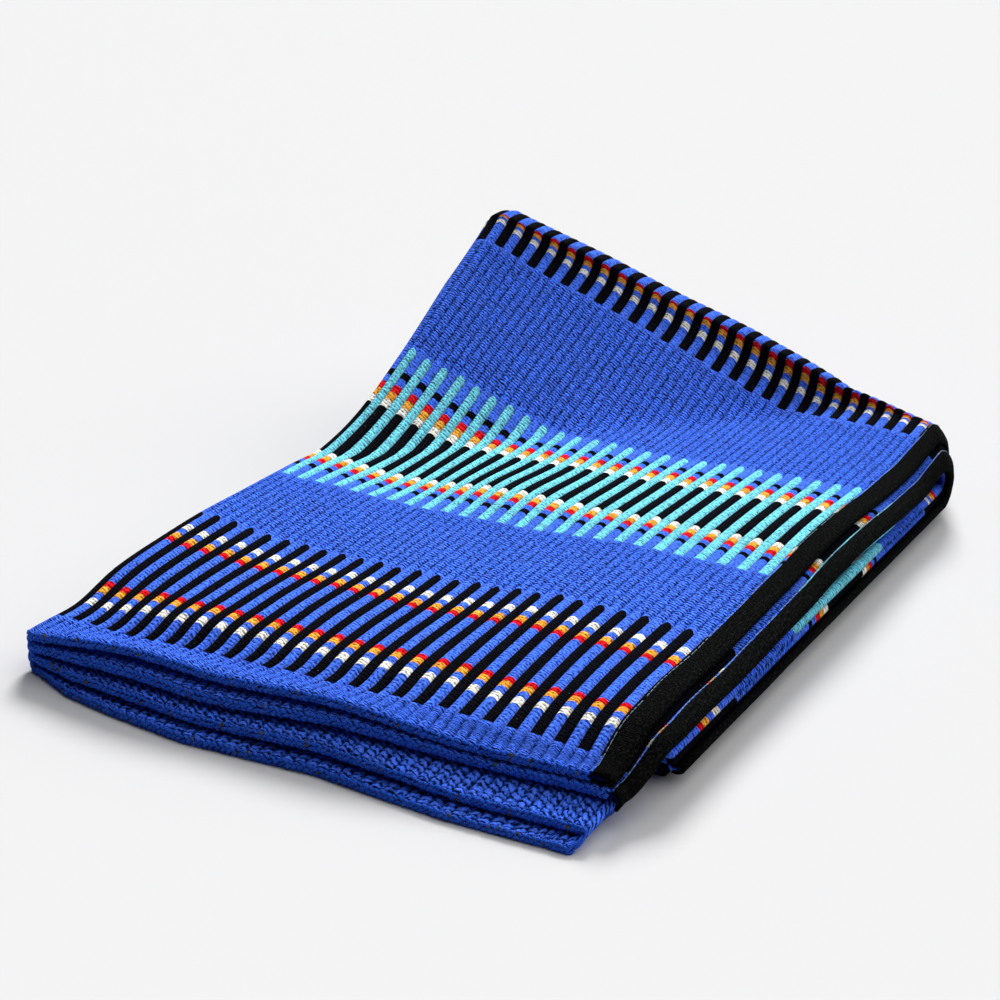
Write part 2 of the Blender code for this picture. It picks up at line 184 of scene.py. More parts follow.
# The pad's rounded corners: the loop at the front left, and the bindings at the back right, which draw in
# by BACK_ROUND for each metre past the cut end; and how far the loop stands out along its travel
FRONT_ROUND = 60.0
FRONT_ROUND_RUN = 0.060
BACK_ROUND = 1.7
BACK_ROUND_RUNS = (0.380, 0.500)
BACK_ROUND_FLOOR = 0.100
LOOP_X = -0.0115
LOOP_RUNS = np.array([0.0, 0.200, 0.290, 0.360, 0.430, 0.490, 0.560])
LOOP_OUT = np.array([0.0, 0.0, -0.0030, 0.0, 0.0050, 0.0050, 0.0])

# Rows of the cloth along its travel. The front ones carry every rib of every layer, the rest only what shows
FRONT_RUNS = np.array([0.0, 0.0004, 0.0010, 0.0018, 0.004, 0.007, 0.0105, 0.014, 0.0175, 0.021, 0.0245,
                       0.028, 0.0315])
TOP_STEPS = ((0.0355, 0.0595, 7), (0.066, 0.108, 7), (0.118, 0.468, 36), (0.475, FOLD_START, 14))
BEND_ROWS = 12
FALL_ROWS = 2
FLOOR_BEND_ROWS = 8
FLOOR_ROWS = 15
EDGE_SHARES = np.array([0.42, 0.72, 0.93])
EDGE_RUNS = FRONT_RUNS[:3]

# The loops of the selvedge: three rows round the edge, each set along by a share of a loop
LOOP_POINTS = 6
LOOP_ANGLE = np.radians([-60.0, 0.0, 60.0])
LOOP_SHIFT = np.array([0.0, 0.5, 0.2])
LOOP_SLANT = np.array([0.80, -0.60, 0.70])
LOOP_SPREAD = 0.70
LOOP_FATNESS = np.array([0.20, 0.80, 1.0, 1.0, 0.80, 0.20])

# Points across one rib, as shares of its width from its middle, where the ribs show well and elsewhere
FINE_RIB = np.array([-0.5, -0.40, -0.22, 0.0, 0.22, 0.40])
PLAIN_RIB = np.array([-0.5, -0.28, 0.0, 0.28])
SPREAD_RIBS = 3
STRIP_X = 0.292

# The woven pattern along a rib, measured from the front edge
PATTERN_MIDDLE = 0.528
BORDER_END = 0.031
DARK_BAND = 0.0895
DARK_HALF = 0.0590
LIGHT_BAND = 0.290
LIGHT_HALF = 0.070
SPOTS_ON_BLUE = ((0.0223, "red"), (0.0263, "orange"), (0.0313, "blue"), (0.0365, "white"), (0.0418, "blue"))
SPOTS_ON_BLACK = ((0.0255, "white"), (0.0312, "orange"), (0.0368, "red"), (0.0420, "blue"),
                  (0.0472, "black"), (0.0519, "blue"))
RAMP_LENGTH = 0.080

# Where the lower half's slack is taken up again, and how far the deeper layers lag behind the top one
SLACK_FROM = 0.252
SLACK_TO = 0.190

# The camera, in the frame of the ribs, and its view
CAMERA_PLACE = (0.65342 - CENTRE_X, -0.77831 - CENTRE_Y, 0.45973)
CAMERA_TURN = np.radians(30.26)
CAMERA_RISE = np.radians(22.03)
CAMERA_LENS = 71.634
SENSOR = 36.0
KEY_FROM = (-0.50, 1.25, 1.05)
FILL_FROM = (0.45, 0.55, 1.0)
FILL_WIDTH = np.radians(90.0)


class BlanketWeave(PropertyGroup):
    """Sizes of the woven cloth"""

    rib: FloatProperty(name="Rib", description="Width of one rib", default=0.006, min=0.003, max=0.012,
                       subtype="DISTANCE", unit="LENGTH")
    relief: FloatProperty(name="Relief", description="Depth of the grooves between the ribs", default=0.0012,
                          min=0.0, max=0.0016, subtype="DISTANCE", unit="LENGTH")
    yarn: FloatProperty(name="Yarn", description="Distance from one cross yarn to the next",
                        default=0.0021, min=0.0008, max=0.004, subtype="DISTANCE", unit="LENGTH")
    plain_share: FloatProperty(name="Plain share", description="Share of the relief in the plain blue parts",
                               default=0.55, min=0.0, max=1.0, subtype="FACTOR")
    border_share: FloatProperty(name="Border share", description="Share of the relief along the selvedges",
                                default=0.85, min=0.0, max=1.0, subtype="FACTOR")


class BlanketColours(PropertyGroup):
    """Colours of the yarns"""

    blue: FloatVectorProperty(name="Blue", description="Ground of the cloth", subtype="COLOR",
                              default=(0.008, 0.128, 0.920))
    black: FloatVectorProperty(name="Black", description="Dark ribs of the bands", subtype="COLOR",
                               default=(0.0030, 0.0032, 0.0060))
    light_blue: FloatVectorProperty(name="Light blue", description="Pale ribs of the light bands",
                                    subtype="COLOR", default=(0.140, 0.680, 0.860))
    red: FloatVectorProperty(name="Red", description="Red spots", subtype="COLOR",
                             default=(0.760, 0.010, 0.018))
    orange: FloatVectorProperty(name="Orange", description="Orange spots", subtype="COLOR",
                                default=(0.930, 0.400, 0.050))
    white: FloatVectorProperty(name="White", description="White spots", subtype="COLOR",
                               default=(0.920, 0.890, 0.810))
    tape: FloatVectorProperty(name="Tape", description="Black bindings", subtype="COLOR",
                              default=(0.0024, 0.0026, 0.0030))
    stitch: FloatVectorProperty(name="Stitch", description="Sewing thread of the bindings", subtype="COLOR",
                                default=(0.420, 0.620, 0.800))


class BlanketTape(PropertyGroup):
    """Sizes of the bindings and their seams"""

    crown: FloatProperty(name="Crown", description="Rise of the tape's middle", default=0.0006, min=0.0,
                         max=0.002, subtype="DISTANCE", unit="LENGTH")
    stitch_length: FloatProperty(name="Stitch", description="Length of one stitch that shows",
                                 default=0.0036, min=0.001, max=0.006, subtype="DISTANCE", unit="LENGTH")
    stitch_step: FloatProperty(name="Stitch step", description="Distance from one stitch to the next",
                               default=0.0040, min=0.002, max=0.010, subtype="DISTANCE", unit="LENGTH")
    thread: FloatProperty(name="Thread", description="Radius of the sewing thread", default=0.00018,
                          min=0.0001, max=0.001, subtype="DISTANCE", unit="LENGTH")
    loop: FloatProperty(name="Loop", description="Radius of the yarn in the selvedge's loops", default=0.0009,
                        min=0.0003, max=0.002, subtype="DISTANCE", unit="LENGTH")
    loop_length: FloatProperty(name="Loop length", description="Length of one loop along the selvedge",
                               default=0.0031, min=0.002, max=0.010, subtype="DISTANCE", unit="LENGTH")


class BlanketStudio(PropertyGroup):
    """Floor and lights"""

    floor: FloatVectorProperty(name="Floor", description="Colour of the floor", subtype="COLOR",
                               default=(0.600, 0.600, 0.606))
    sky: FloatProperty(name="Sky", description="Strength of the even light all round", default=0.05, min=0.0,
                       max=5.0)
    key: FloatProperty(name="Key", description="Strength of the low light from behind", default=4.0, min=0.0,
                       max=20.0)
    key_width: FloatProperty(name="Key width", description="Angle that the light from behind fills",
                             default=np.radians(20.0), min=0.0, max=np.pi, subtype="ANGLE", unit="ROTATION")
    fill: FloatProperty(name="Fill", description="Strength of the wide light from above", default=2.6, min=0.0,
                        max=20.0)


def through(at, knots, values):
    """A smooth curve through values at knots: cubic Hermite pieces whose slopes are the mean slopes.

    values has one row for each knot and one column for each column of `at`.
    """
    slopes = np.gradient(values, knots, axis=0)
    piece = np.clip(np.searchsorted(knots, at, side="right") - 1, 0, len(knots) - 2)
    column = np.arange(at.shape[-1])
    width = knots[piece + 1] - knots[piece]
    t = (at - knots[piece]) / width
    start, end = values[piece, column], values[piece + 1, column]
    start_slope, end_slope = slopes[piece, column] * width, slopes[piece + 1, column] * width
    return ((2 * t**3 - 3 * t**2 + 1) * start + (t**3 - 2 * t**2 + t) * start_slope
            + (3 * t**2 - 2 * t**3) * end + (t**3 - t**2) * end_slope)


def rows_across(x, places, rows):
    """Each row's curve through its values at `places`, read at x: one line for each row."""
    return np.stack([through(x, places, np.repeat(row[:, None], len(x), axis=1)) for row in rows])


def ease(at, start, end):
    """0 before start, 1 after end, and 3t^2 - 2t^3 between."""
    t = np.clip((at - start) / (end - start), 0.0, 1.0)
    return t * t * (3 - 2 * t)


def left_to_right(pair, x):
    """A size that changes evenly from the left of the pad to where its back fold levels out."""
    return pair[0] + (pair[1] - pair[0]) * ease(x, 0.0, FOLD_TURNS_RIGHT_X)


def raised(x, y):
    """Height of the raised corner: RISE d^2 / (d + RISE_EASE), d behind the crease at y0 + slant x."""
    behind = np.maximum(0.0, y - CREASE_Y - CREASE_SLANT * np.clip(x, 0.0, ACROSS[-1]))
    return RISE * behind**2 / (behind + RISE_EASE)


def on_top(x, run):
    """Place, heading and pad thickness on the upper half, at each x and its run."""
    clipped = np.clip(x, ACROSS[0], ACROSS[-1])
    row_y = rows_across(clipped, ACROSS_Y, TOP_Y)
    row_z = rows_across(clipped, ACROSS, TOP_Z)

    def level(here):
        return through(here, TOP_RUNS, row_y), through(here, TOP_RUNS, row_z)

    y, z = level(run)
    y_back, z_back = level(run - HEADING_STEP)
    y_on, z_on = level(np.minimum(run + HEADING_STEP, FOLD_START))
    heading = np.arctan2(z_on + raised(x, y_on) - z_back - raised(x, y_back), y_on - y_back)
    half = np.clip((z - HALF_GAP) / 2, PAD_LEAST, PAD_MOST)
    pad = half + (np.minimum(z, PAD_FRONT) - half) * (1 - ease(run, *PAD_FRONT_RUNS))
    return y, z + raised(x, y), heading, pad


def lean(x, run, heading):
    """How far the layers lean back at each run: not at all in front, square to the top, then between it and
    an even turn over the lip."""
    before = on_top(x, np.full((1, len(x)), LIP_FROM))[2]
    at_fold = on_top(x, np.full((1, len(x)), FOLD_START))[2]
    even = before + (at_fold - before) * ease(run, LIP_FROM, FOLD_START)
    over_lip = even + LIP_SHARE * (heading - even)
    return np.where(run < LIP_FROM, heading * ease(run, SQUARE_FROM, SQUARE_AT), over_lip)


def rounded(x, run, on_floor):
    """Shifts in x and y at the pad's corners: y grows as k x^2 at the front left and shrinks evenly behind."""
    left = FRONT_ROUND * np.minimum(x, 0.0) ** 2 * (1 - ease(run, 0.0, FRONT_ROUND_RUN))
    right = BACK_ROUND * np.maximum(x - TOP_END_X, 0.0) * ease(run, *BACK_ROUND_RUNS)
    right = right * (1 - ease(on_floor, 0.0, BACK_ROUND_FLOOR))
    out = np.interp(run, LOOP_RUNS, LOOP_OUT) * np.clip(x / LOOP_X, 0.0, 1.0)
    pull = np.interp(x, PULL_ACROSS, PULL) * (1 - ease(run, *PULL_RUNS))
    return -out - pull, left - right


def arc(y, z, heading, turn, radius):
    """The end of a right-hand arc: dy = R (sin a - sin b), dz = R (cos b - cos a), b = a - turn."""
    end = heading - turn
    return (y + radius * (np.sin(heading) - np.sin(end)),
            z + radius * (np.cos(end) - np.cos(heading)), end)


def fold_shape(x):
    """The parts of the back fold at each x: its heading, both bends and the length of the fall."""
    y, z, heading, pad = on_top(x, np.full(len(x), FOLD_START))
    angle = np.radians(left_to_right(FALL_ANGLE, x))
    bend = np.minimum(left_to_right(BEND_RADIUS, x), z / 2)
    fall_from = z + bend * (np.cos(angle) - np.cos(heading))
    floor_bend = np.minimum(left_to_right(FLOOR_BEND, x), fall_from / (1 + np.cos(angle)) - LEAST_FALL)
    fall = (fall_from - floor_bend * (1 + np.cos(angle))) / np.sin(angle)
    end_y = arc(y, z, heading, heading + angle, bend)[0] + fall * np.cos(-angle)
    floor_y = arc(end_y, z, -angle, np.pi - angle, floor_bend)[0]
    lengths = np.stack([bend * (heading + angle), fall, floor_bend * (np.pi - angle),
                        floor_y - left_to_right(LOWER_EDGE_Y, x)])
    return bend, floor_bend, floor_y, lengths


def level_over(x, y):
    """The level of the top above the floor place (x, y), without the raised corner."""
    x = np.clip(x, ACROSS[0], ACROSS[-1])
    runs = TOP_RUNS[FIRST_LEVEL_ROW:]
    row_y = rows_across(x, ACROSS_Y, TOP_Y[FIRST_LEVEL_ROW:])
    row_z = rows_across(x, ACROSS, TOP_Z[FIRST_LEVEL_ROW:])
    shares = np.clip((y[..., None, :] - row_y[:-1]) / np.diff(row_y, axis=0), 0.0, 1.0)
    run = runs[0] + (shares * np.diff(runs)[:, None]).sum(axis=-2)
    return through(run, runs, row_z)


def path(x, depth, travel):
    """Shift in x, place, heading, pad thickness and pattern run, for each column's x and depth.

    The path is the top's curve up to FOLD_START, then an arc, a straight fall, a second arc and the
    floor. A deeper layer is ahead of the top one near both front edges, and its pattern lags behind
    by depth x angle turned in the fold, until the lower half's slack has taken that up.
    """
    bend, floor_bend, floor_y, lengths = fold_shape(x)
    beyond = travel - FOLD_START
    run = np.minimum(travel, FOLD_START)
    share = depth / PAD
    close = np.interp(share, EVEN_SHARES, CLOSE_SHARES)
    layer = np.where(x > ONLY_TAPE_X, np.minimum(share, EVEN_SHARES[3]), share)
    led = share + (np.interp(layer, EVEN_SHARES, LEAD_SHARES) - share) * ease(x, *CLOSE_ACROSS)
    lead = np.interp(x, LEAD_ACROSS, UPPER_LEAD) * (1 - ease(run, 0.0, UPPER_LEAD_RUN)) * led
    y, z, heading, pad = on_top(x, run - lead)
    closer = ease(x, *CLOSE_ACROSS) * ease(pad, *CLOSE_PAD)
    pad = pad * (1 + closer * (close / np.maximum(share, EVEN_SHARES[1] / 2) - 1) * (share > EVEN_SHARES[1]))
    start = heading
    heading = lean(x, run, heading)
    y, z, heading = arc(y, z, heading, np.clip(beyond, 0.0, lengths[0]) / bend, bend)
    fall = np.clip(beyond - lengths[0], 0.0, lengths[1])
    y, z = y + fall * np.cos(heading), z + fall * np.sin(heading)
    turned = np.clip(beyond - lengths[:2].sum(axis=0), 0.0, lengths[2]) / floor_bend
    y, z, heading = arc(y, z, heading, turned, floor_bend)
    on_floor = np.maximum(beyond - lengths[:3].sum(axis=0), 0.0)
    edge_y = left_to_right(LOWER_EDGE_Y, x)
    y = y - on_floor
    pad_here = np.clip((level_over(x, y) - HALF_GAP) / 2, PAD_LEAST, PAD_MOST)
    pad = pad + (pad_here - pad) * ease(on_floor / lengths[3], 0.0, PAD_EASE) * (on_floor > 0)
    slack = ease(-y, -SLACK_FROM, -SLACK_TO) * (beyond > 0)
    pattern = travel - depth * (start - heading) * (beyond > 0) * (1 - slack)
    y = y - LOWER_LEAD * ease(-y, -edge_y - LOWER_LEAD_RUN, -edge_y) * (on_floor > 0) * depth / PAD
    shift_x, shift_y = rounded(x, travel, on_floor)
    shift_x = shift_x - TURN_IN * ease(x, *TURN_IN_FROM) * (1 - ease(travel, *TURN_IN_RUNS)) * depth / PAD
    return shift_x, y + shift_y, np.where(on_floor > 0, 0.0, z), heading, pad, pattern


def placed(x, depth, reach_x, reach_depth, travel):
    """The point of a section carried along the path: y + d sin h, z - d cos h, d scaled by the pad.

    The cloth's own thickness is scaled less where the layers gape.
    """
    shift_x, y, z, heading, pad, pattern = path(x, depth, travel)
    deep = depth * pad / PAD + reach_depth * np.minimum(pad / PAD, FRONT_FATNESS)
    points = np.stack([x + reach_x + shift_x - CENTRE_X, y + deep * np.sin(heading) - CENTRE_Y,
                       z - deep * np.cos(heading)], axis=-1)
    return points, pattern


def travels(x, front, closing):
    """Travel of every row behind the front ones, one column for each x, and the closing rows' shares."""
    lengths = fold_shape(x)[3]
    top = np.concatenate([np.linspace(*step) for step in TOP_STEPS])
    counts = (BEND_ROWS, FALL_ROWS, FLOOR_BEND_ROWS, FLOOR_ROWS)
    rows = [np.repeat(front[:, None], len(x), axis=1), np.repeat(top[:, None], len(x), axis=1)]
    start = FOLD_START
    for length, count in zip(lengths, counts):
        rows.append(start + length * np.linspace(1.0 / count, 1.0, count)[:, None])
        start = start + length
    if closing:
        rows[-1] = np.vstack([rows[-1][:-1], start - EDGE_RUNS[::-1, None] - EDGE_RUNS[1], start + 0 * x])
    return np.vstack(rows)


def middle_of(wound):
    """Place (x, depth) of the cloth's middle line, `wound` metres on from x = 0 of the top layer."""
    piece = np.searchsorted(WOUND_AT, wound, side="right")
    along = wound - np.concatenate([[0.0], WOUND_AT])[piece]
    wide, tight = along / OUTER_RADIUS, along / TURN_RADIUS
    x = np.choose(piece, [
        -wound,
        OUTER_LOOP_X - OUTER_RADIUS * np.sin(wide),
        OUTER_LOOP_X + along,
        HAIRPIN_X + TURN_RADIUS * np.sin(tight),
        HAIRPIN_X - along,
        INNER_LOOP_X - TURN_RADIUS * np.sin(tight),
        INNER_LOOP_X + along,
    ])
    depth = np.choose(piece, [
        TOP + 0 * wound,
        (TOP + FOURTH) / 2 - OUTER_RADIUS * np.cos(wide),
        FOURTH + 0 * wound,
        (THIRD + FOURTH) / 2 + TURN_RADIUS * np.cos(tight),
        THIRD + 0 * wound,
        (SECOND + THIRD) / 2 + TURN_RADIUS * np.cos(tight),
        SECOND + 0 * wound,
    ])
    return x, depth, piece


def top_end(distance):
    """The top layer past its seam: straight on, at the middle of its tape."""
    return TOP_END_X + TAPE_SEAM / 2 + distance, TOP + 0 * distance


def under_end(distance):
    """The second layer past its seam: it bends down round the hairpin, x = cx + R sin a."""
    radius = (THIRD + FOURTH) / 2 - SECOND
    return (UNDER_END_X + radius * np.sin(distance / radius),
            SECOND + radius - radius * np.cos(distance / radius))


def with_normals(line):
    """The unit normal on the outer face of a line of points (x, depth), turned left of its direction."""
    along = np.gradient(line, axis=0)
    along /= np.linalg.norm(along, axis=1)[:, None]
    return np.stack([-along[:, 1], along[:, 0]], axis=1)


def cloth_line(rib):
    """The cloth's middle line, from the top layer's end to the second's, with what each point keeps.

    Returns its points, normals, half thickness, wound length, a relief switch, and whether the point is
    kept on the outer and on the inner face behind the front rows.
    """
    number = np.arange(-np.ceil(WOUND_END / rib), np.ceil(TOP_END_X / rib) + 1)[:, None]
    fine = -((number + FINE_RIB) * rib).ravel()
    plain = -((number + PLAIN_RIB) * rib).ravel()
    shows_well = (fine < WOUND_AT[1]) | (abs(fine - (WOUND_AT[2] + WOUND_AT[3]) / 2) < rib * 2)
    shows_well |= fine > WOUND_END - (SEAM_X - STRIP_X)
    plain_there = (plain > WOUND_AT[1]) & (abs(plain - (WOUND_AT[2] + WOUND_AT[3]) / 2) >= rib * 2)
    plain_there &= plain < WOUND_END - (SEAM_X - STRIP_X)
    spread_x = np.append(np.arange(0.0, TOP_END_X, rib * SPREAD_RIBS), TOP_END_X - END_STEP)
    spread = np.concatenate([-spread_x, WOUND_AT[1] + spread_x - OUTER_LOOP_X,
                             WOUND_AT[3] + HAIRPIN_X - spread_x, WOUND_AT[5] + spread_x - INNER_LOOP_X])
    wound = np.concatenate([fine[shows_well], plain[plain_there], spread])
    wound = np.unique(np.round(wound[(wound > -TOP_END_X) & (wound < WOUND_END - END_STEP)], 6))
    is_spread = np.isclose(wound[:, None], spread, atol=2e-6).any(axis=1)
    x, depth, piece = middle_of(wound)
    turns = piece % 2 == 1
    outer_kept = is_spread | turns | (piece == 0) | (piece == 2)
    inner_kept = is_spread | turns | ((piece == 6) & (x > STRIP_X))

    start = [top_end(END_IN_TAPE), top_end(0.0), (TOP_END_X + END_STEP, TOP), (TOP_END_X, TOP)]
    end = [(SEAM_X, SECOND), (SEAM_X + END_STEP, SECOND)]
    end += [under_end(distance) for distance in np.linspace(0.0, END_IN_TAPE, 4)]
    line = np.vstack([start, np.stack([x, depth], axis=1), end])
    half = np.full(len(line), THICK / 2)
    half[:3] = END_THICK / 2
    half[-5:] = END_THICK / 2
    ones, nones = np.ones(len(start)), np.ones(len(end))
    relief = np.concatenate([0 * ones, 1 + 0 * wound, 0 * nones])
    wound = np.concatenate([-line[:4, 0], wound, WOUND_AT[5] + line[-6:, 0] - INNER_LOOP_X])
    outer_kept = np.concatenate([ones > 0, outer_kept | inner_kept, nones > 0])
    inner_kept = np.concatenate([ones > 0, inner_kept, nones > 0])
    return line, with_normals(line), half, wound, relief, outer_kept, inner_kept


def hashed(number, seed):
    """A steady made-up share between 0 and 1 for each number: the fraction of sin(a n + b) c."""
    value = np.sin(number * 12.9898 + seed * 78.233) * 43758.5453
    return value - np.floor(value)


def groove(wound, rib):
    """How deep the groove is at each place: |2 p|^2.6, p the share of a rib from its middle."""
    share = wound / rib + 0.5
    return np.abs(2 * (share - np.floor(share)) - 1) ** 2.6


def relief_share(run, weave):
    """Share of the relief along the ribs: low at the selvedges, middling in plain blue, 1 in the bands."""
    mirrored = PATTERN_MIDDLE - np.abs(run - PATTERN_MIDDLE)
    share = weave.border_share + (weave.plain_share - weave.border_share) * ease(
        mirrored, BORDER_END - 0.003, BORDER_END + 0.003)
    for middle, half in ((DARK_BAND, DARK_HALF), (LIGHT_BAND, LIGHT_HALF), (PATTERN_MIDDLE, DARK_HALF)):
        inside = 1 - ease(np.abs(mirrored - middle), half - 0.004, half + 0.010)
        share = share + (1 - share) * inside
    return share


def sway(x, travel):
    """Small unevenness of the laid cloth: two crossed waves, less than a millimetre high."""
    return (0.0005 * np.sin(x / 0.021 + travel / 0.034) * np.sin(travel / 0.026 - x / 0.055)
            * ease(travel, 0.02, 0.08) * (1 - ease(travel, FOLD_START - 0.02, FOLD_START)))


def ring_faces(rows, columns, first=0):
    """Four-sided faces between the rows of a grid whose columns close on themselves."""
    row = np.arange(rows - 1)[:, None] * columns + first
    here = np.arange(columns)[None, :]
    after = (here + 1) % columns
    return np.stack([row + here, row + after, row + columns + after, row + columns + here],
                    axis=-1).reshape(-1, 4)


def fan_faces(fine, coarse, kept, closed):
    """Triangles between a row of points and a row of only the kept ones: fans about each kept point."""
    index = np.cumsum(kept) - 1
    count = len(fine) if closed else len(fine) - 1
    here = np.arange(count)
    fans = np.stack([fine[here], fine[(here + 1) % len(fine)], coarse[index[here]]], axis=1)
    corner = np.flatnonzero(kept)
    which = np.arange(len(coarse) if closed else len(coarse) - 1)
    after = (which + 1) % len(coarse)
    steps = np.stack([coarse[which], fine[corner[after]], coarse[after]], axis=1)
    return np.vstack([fans, steps])


def enclosed(points, faces):
    """The volume that faces of a closed mesh enclose, six times over: sum of a . (b x c)."""
    total = 0.0
    for corners in faces:
        for third in range(2, corners.shape[1]):
            a, b, c = (points[corners[:, i]] for i in (0, third - 1, third))
            total += np.einsum("ij,ij->", a, np.cross(b, c))
    return total


def mesh_piece(name, points, faces, uv, material):
    """A new piece of the blanket from arrays of points and faces, its faces outward, riding on the body."""
    if enclosed(points, faces) < 0:
        faces = [corners[:, ::-1] for corners in faces]
    corners = np.concatenate([part.ravel() for part in faces])
    sizes = np.concatenate([np.full(len(part), part.shape[1]) for part in faces])
    mesh = bpy.data.meshes.new(name)
    mesh.vertices.add(len(points))
    mesh.vertices.foreach_set("co", points.astype(np.float32).ravel())
    mesh.loops.add(len(corners))
    mesh.loops.foreach_set("vertex_index", corners.astype(np.int32))
    mesh.polygons.add(len(sizes))
    mesh.polygons.foreach_set("loop_start", (np.cumsum(sizes) - sizes).astype(np.int32))
    layer = mesh.uv_layers.new(name="UVMap")
    layer.uv.foreach_set("vector", uv[corners].astype(np.float32).ravel())
    mesh.update(calc_edges=True)
    mesh.validate()
    mesh.shade_smooth()
    mesh.materials.append(material)
    piece = bpy.data.objects.new(name, mesh)
    bpy.context.scene.collection.objects.link(piece)
    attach(piece, "root")
    return piece


class Wire:
    """A socket of a material. Sums, products and the like of wires and numbers become Math nodes."""

    def __init__(self, sheet, socket):
        self.sheet = sheet
        self.socket = socket

    def math(self, operation, *others):
        """One Math node on this wire and the others."""
        return self.sheet.node("ShaderNodeMath", {"operation": operation}, dict(enumerate((self, *others))))

    def turned(self, operation, other):
        """One Math node with the other value first."""
        return self.sheet.node("ShaderNodeMath", {"operation": operation}, {0: other, 1: self})

    def __add__(self, other):
        return self.math("ADD", other)

    def __sub__(self, other):
        return self.math("SUBTRACT", other)

    def __mul__(self, other):
        return self.math("MULTIPLY", other)

    def __truediv__(self, other):
        return self.math("DIVIDE", other)

    def __pow__(self, other):
        return self.math("POWER", other)

    def __gt__(self, other):
        return self.math("GREATER_THAN", other)

    def __lt__(self, other):
        return self.math("LESS_THAN", other)

    def __abs__(self):
        return self.math("ABSOLUTE")

    def __radd__(self, other):
        return self.turned("ADD", other)

    def __rsub__(self, other):
        return self.turned("SUBTRACT", other)

    def __rmul__(self, other):
        return self.turned("MULTIPLY", other)

    def floor(self):
        """The whole number at or below."""
        return self.math("FLOOR")

    def part(self):
        """The fraction above the whole number."""
        return self.math("FRACT")

    def sine(self):
        """The sine of an angle in radians."""
        return self.math("SINE")


class Sheet:
    """One material and the ways to add nodes to it."""

    def __init__(self, name, roughness, sheen):
        self.material = bpy.data.materials.new(name)
        self.material.use_nodes = True
        self.tree = self.material.node_tree
        self.surface = self.tree.nodes["Principled BSDF"]
        self.surface.inputs["Roughness"].default_value = roughness
        self.surface.inputs["Sheen Weight"].default_value = sheen
        self.surface.inputs["Sheen Roughness"].default_value = 0.6
        self.surface.inputs["Specular IOR Level"].default_value = 0.01

    def node(self, kind, settings, inputs, output=0):
        """Add a node: its settings first, then the values or wires of its sockets."""
        made = self.tree.nodes.new(kind)
        for key, value in settings.items():
            setattr(made, key, value)
        for key, value in inputs.items():
            if isinstance(value, Wire):
                self.tree.links.new(value.socket, made.inputs[key])
            else:
                made.inputs[key].default_value = value
        return Wire(self, made.outputs[output])

    def link(self, wire, name):
        """Lead a wire to a socket of the surface."""
        self.tree.links.new(wire.socket, self.surface.inputs[name])

    def uv(self):
        """The two coordinates of the piece's own map."""
        place = self.node("ShaderNodeTexCoord", {}, {}, "UV")
        split = self.node("ShaderNodeSeparateXYZ", {}, {0: place})
        return split, Wire(self, split.socket.node.outputs[1])

    def point(self, x, y, z=0.0):
        """Three values as one place."""
        return self.node("ShaderNodeCombineXYZ", {}, {0: x, 1: y, 2: z})

    def random(self, x, y=0.0, z=0.0):
        """A made-up share between 0 and 1 for each whole place."""
        return self.node("ShaderNodeTexWhiteNoise", {"noise_dimensions": "3D"}, {"Vector": self.point(x, y, z)})

    def noise(self, place, scale, detail=2.0, roughness=0.5):
        """Smooth noise, around 0.5."""
        return self.node("ShaderNodeTexNoise", {"noise_dimensions": "3D"},
                         {"Vector": place, "Scale": scale, "Detail": detail, "Roughness": roughness})

    def soft(self, value, start, end):
        """0 up to start and 1 from end, with a smooth change between."""
        return self.node("ShaderNodeMapRange", {"interpolation_type": "SMOOTHSTEP"},
                         {"Value": value, "From Min": start, "From Max": end})

    def mix(self, share, first, second, blend="MIX"):
        """Two colours mixed by a share."""
        return self.node("ShaderNodeMix", {"data_type": "RGBA", "blend_type": blend},
                         {0: share, 6: first, 7: second}, 2)

    def steps(self, value, stops):
        """Plain colours along a value: stops are pairs of a place and a colour."""
        made = self.tree.nodes.new("ShaderNodeValToRGB")
        made.color_ramp.interpolation = "CONSTANT"
        while len(made.color_ramp.elements) < len(stops):
            made.color_ramp.elements.new(1.0)
        for element, (place, colour) in zip(made.color_ramp.elements, stops):
            element.position = place
            element.color = colour
        self.tree.links.new(value.socket, made.inputs[0])
        return Wire(self, made.outputs[0])

    def bump(self, height, distance, strength=1.0):
        """Lead a height to the surface's normal through a Bump node."""
        made = self.node("ShaderNodeBump", {}, {"Height": height, "Distance": distance, "Strength": strength})
        self.link(made, "Normal")


def yarn_colours(colours):
    """The colours by name, as four numbers each."""
    names = ("blue", "black", "light_blue", "red", "orange", "white", "tape", "stitch")
    return {name: (*getattr(colours, name), 1.0) for name in names}


